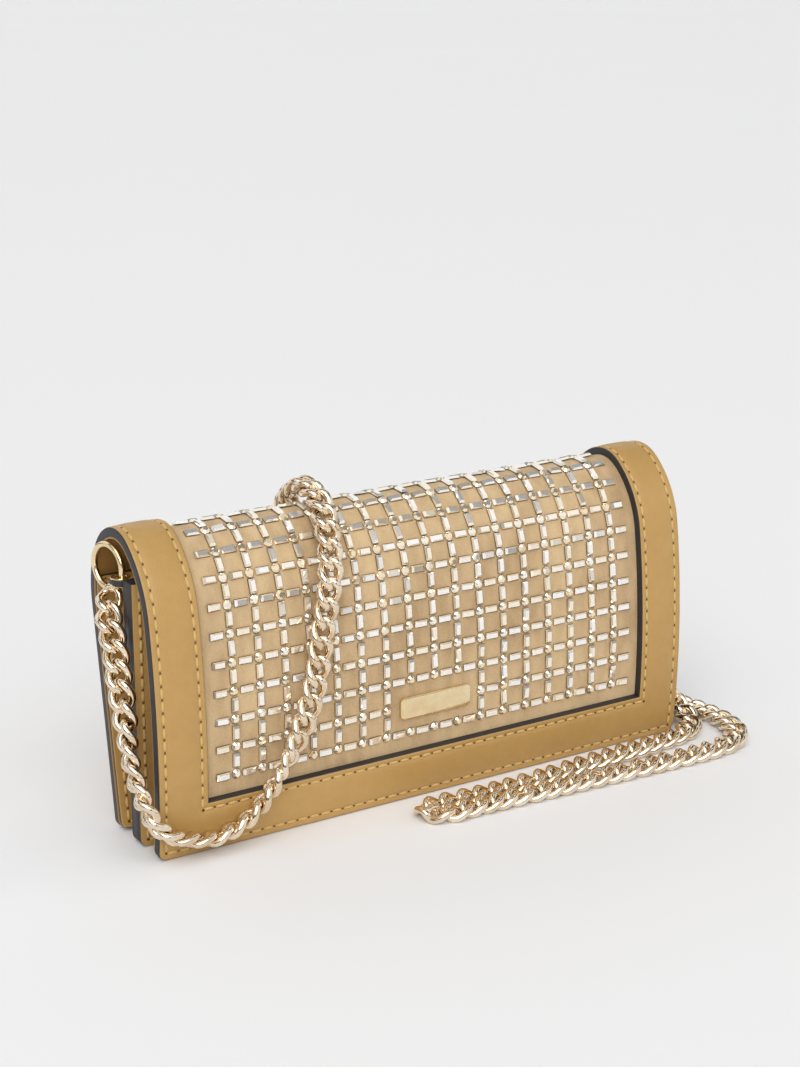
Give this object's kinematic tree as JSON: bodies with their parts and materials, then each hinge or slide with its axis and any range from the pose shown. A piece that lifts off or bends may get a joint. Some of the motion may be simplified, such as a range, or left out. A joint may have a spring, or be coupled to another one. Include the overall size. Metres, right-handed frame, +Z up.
{
  "type": "chain wallet",
  "caption": "Folded leather wallet with a curved flap over an inner block, a velvet window, side rings and a long loose metal chain.",
  "frame": {"origin": "bottom centre of the closed wallet without its chain, on the surface it stands on", "axes": "+X to the wallet's right seen from the front, +Y to the back, +Z up; the flap's decorated face looks along -Y"},
  "size_m": [0.2299, 0.1056, 0.108],
  "materials": {
    "leather": "smooth semi-matt cowhide, tan",
    "lining": "smooth thin lining leather, darker tan",
    "edge_paint": "satin painted edge, charcoal brown",
    "velvet": "short pile velvet, sand",
    "thread": "waxed sewing thread, golden tan",
    "stone": "foil-backed faceted crystal",
    "gold_metal": "polished pale gold plating",
    "chain_metal": "polished pale gold plating",
    "zip_tape": "woven tape"
  },
  "bodies": {
    "body": {"back_leather": "leather", "back_lining": "lining", "back_velvet": "velvet", "pocket_panel": "leather", "bottom_gusset": "lining", "gusset_left": "lining", "gusset_right": "lining", "block_back": "leather", "block_front": "leather", "block_rim": "edge_paint", "card_left_1": "leather", "card_left_2": "leather", "card_left_3": "leather", "card_right_1": "leather", "card_right_2": "leather", "card_right_3": "leather", "tab_left": "leather", "tab_right": "leather", "snap_socket": "gold_metal", "zip_tapes": "zip_tape", "zip_teeth": "gold_metal", "zip_stops": "gold_metal", "chain_left": "chain_metal", "chain_back": "chain_metal"},
    "spine_3": {"spine_3_leather": "leather", "spine_3_lining": "lining", "spine_3_velvet": "velvet", "chain_top_3": "chain_metal"},
    "spine_2": {"spine_2_leather": "leather", "spine_2_lining": "lining", "spine_2_velvet": "velvet", "chain_top_2": "chain_metal"},
    "spine_1": {"spine_1_leather": "leather", "spine_1_lining": "lining", "spine_1_velvet": "velvet", "chain_top_1": "chain_metal"},
    "flap": {"flap_leather": "leather", "flap_lining": "lining", "flap_velvet": "velvet", "metal_bar": "gold_metal", "snap_stud": "gold_metal", "chain_front": "chain_metal"},
    "slider": {"zip_slider": "gold_metal"},
    "pull": {"zip_pull": "gold_metal"},
    "ring_left_body": {"ring_left": "gold_metal"},
    "ring_right_body": {"ring_right": "gold_metal"}
  },
  "joints": [
    {"name": "flap_fold", "type": "hinge", "parent": "body", "child": "spine_3", "pos_m": [0, 0.02128, 0.08265], "axis": [1, 0, 0], "range_deg": [-45, 0], "deforming": ["chain_back"]},
    {"name": "fold_3", "type": "hinge", "parent": "spine_3", "child": "spine_2", "pos_m": [0, 0.01147, 0.09729], "axis": [1, 0, 0], "range_deg": [-45, 0]},
    {"name": "fold_2", "type": "hinge", "parent": "spine_2", "child": "spine_1", "pos_m": [0, -0.00078, 0.09944], "axis": [1, 0, 0], "range_deg": [-45, 0]},
    {"name": "fold_1", "type": "hinge", "parent": "spine_1", "child": "flap", "pos_m": [0, -0.01447, 0.08768], "axis": [1, 0, 0], "range_deg": [-45, 0]},
    {"name": "zip_slide", "type": "slide", "parent": "body", "child": "slider", "axis": [1, 0, 0], "range_m": [-0.159, 0]},
    {"name": "zip_pull_hinge", "type": "hinge", "parent": "slider", "child": "pull", "pos_m": [0.08, -0.0048, 0.0808], "axis": [0, 1, 0], "range_deg": [0, 150]},
    {"name": "ring_left_swivel", "type": "hinge", "parent": "body", "child": "ring_left_body", "pos_m": [-0.0989, 0.0019, 0.0836], "axis": [0, 0, 1], "range_deg": [0, 25]},
    {"name": "ring_right_swivel", "type": "hinge", "parent": "body", "child": "ring_right_body", "pos_m": [0.0989, 0.0019, 0.0836], "axis": [0, 0, 1], "range_deg": [-25, 0]}
  ],
  "couplings": [
    {"joint": "fold_3", "follows": "flap_fold", "ratio": 1},
    {"joint": "fold_2", "follows": "flap_fold", "ratio": 1},
    {"joint": "fold_1", "follows": "flap_fold", "ratio": 1}
  ]
}
